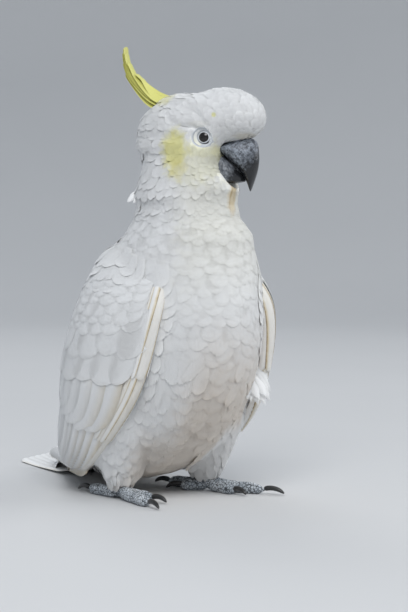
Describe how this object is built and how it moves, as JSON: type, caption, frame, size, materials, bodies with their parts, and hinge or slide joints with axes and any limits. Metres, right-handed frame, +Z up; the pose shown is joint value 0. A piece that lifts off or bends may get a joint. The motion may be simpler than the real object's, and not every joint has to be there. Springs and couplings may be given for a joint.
{
  "type": "cockatoo",
  "caption": "Life-size still model of a sulphur-crested cockatoo standing upright with folded wings, its head turned to its left and its yellow crest laid back.",
  "frame": {"origin": "on the floor under the middle of the bird's bounding box, behind the feet", "axes": "+Z up; the bird's body faces -Y and its left side is at +X"},
  "size_m": [0.1694, 0.3426, 0.356],
  "materials": {
    "plumage": "matte",
    "crest_feather": "matte",
    "bill": "satin",
    "eye": "gloss",
    "foot_skin": "matte",
    "claw": "satin"
  },
  "bodies": {
    "root": {"head": "plumage", "neck": "plumage", "trunk": "plumage", "bill_upper": "bill", "bill_lower": "bill", "crest": "crest_feather", "eye_left": "eye", "thigh_left": "plumage", "tarsus_left": "foot_skin", "claw_inner_front_left": "claw", "toe_inner_front_left": "foot_skin", "claw_outer_front_left": "claw", "toe_outer_front_left": "foot_skin", "claw_inner_hind_left": "claw", "toe_inner_hind_left": "foot_skin", "claw_outer_hind_left": "claw", "toe_outer_hind_left": "foot_skin", "eye_right": "eye", "thigh_right": "plumage", "tarsus_right": "foot_skin", "claw_inner_front_right": "claw", "toe_inner_front_right": "foot_skin", "claw_outer_front_right": "claw", "toe_outer_front_right": "foot_skin", "claw_inner_hind_right": "claw", "toe_inner_hind_right": "foot_skin", "claw_outer_hind_right": "claw", "toe_outer_hind_right": "foot_skin", "tail": "plumage", "wing_left": "plumage", "wing_right": "plumage"}
  },
  "joints": []
}
